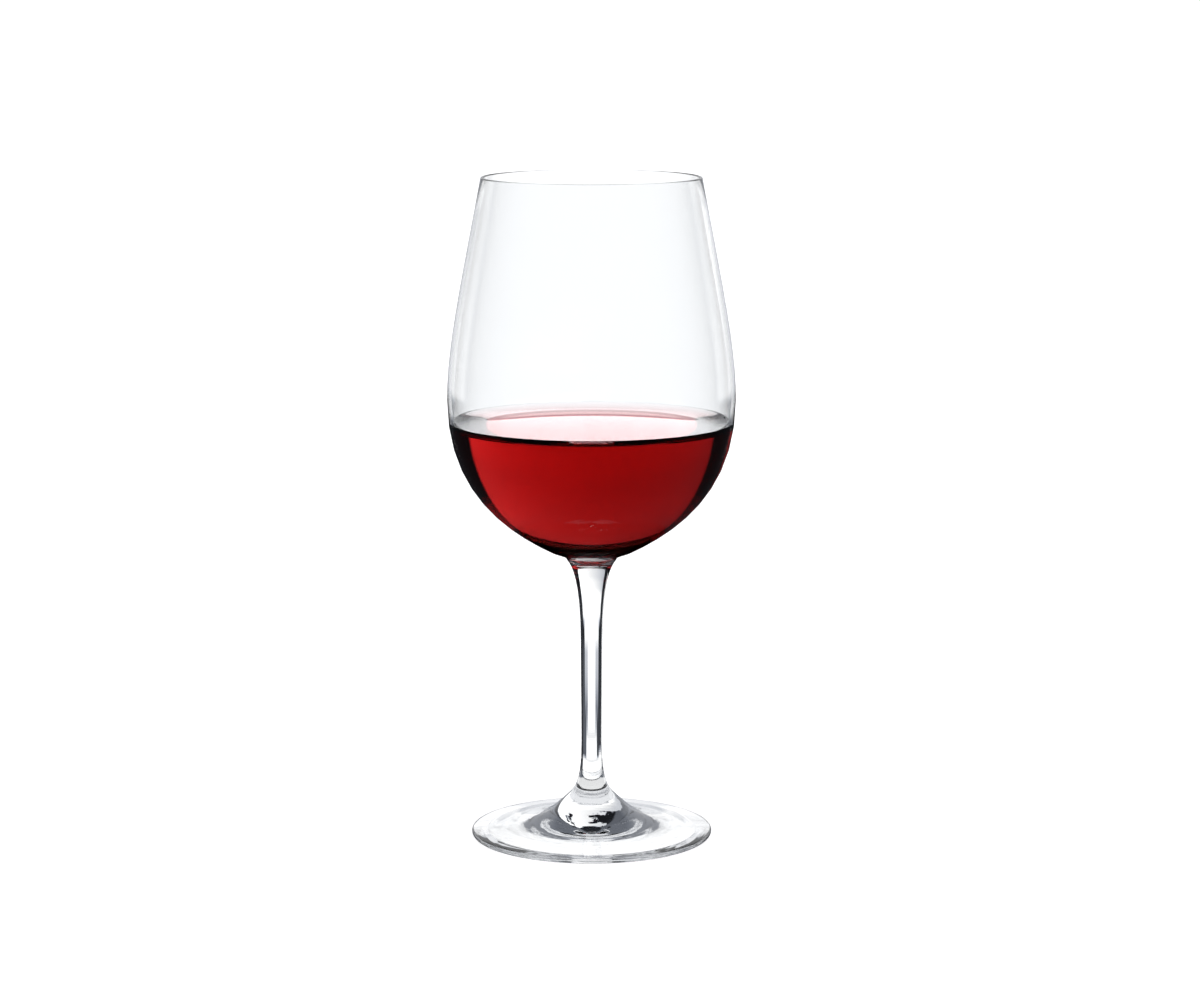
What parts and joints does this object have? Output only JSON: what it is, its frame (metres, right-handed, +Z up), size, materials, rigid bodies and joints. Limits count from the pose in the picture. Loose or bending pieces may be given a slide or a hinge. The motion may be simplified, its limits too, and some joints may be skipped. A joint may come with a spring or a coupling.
{
  "type": "glass of red wine",
  "caption": "Tall stemmed wine glass with a round tapering bowl, slender stem and broad foot, holding a serving of red wine up to the bowl's widest part.",
  "frame": {"origin": "centre of the foot's underside, on the surface that the glass stands on", "axes": "+Z up along the stem, from the foot to the rim; the glass is round about Z, so +X and +Y are any two directions at right angles"},
  "size_m": [0.0972, 0.0972, 0.225],
  "materials": {
    "clear_glass": "clear, fire-polished",
    "red_wine": "clear deep red liquid"
  },
  "bodies": {
    "root": {"glass": "clear_glass", "wine": "red_wine"}
  },
  "joints": []
}
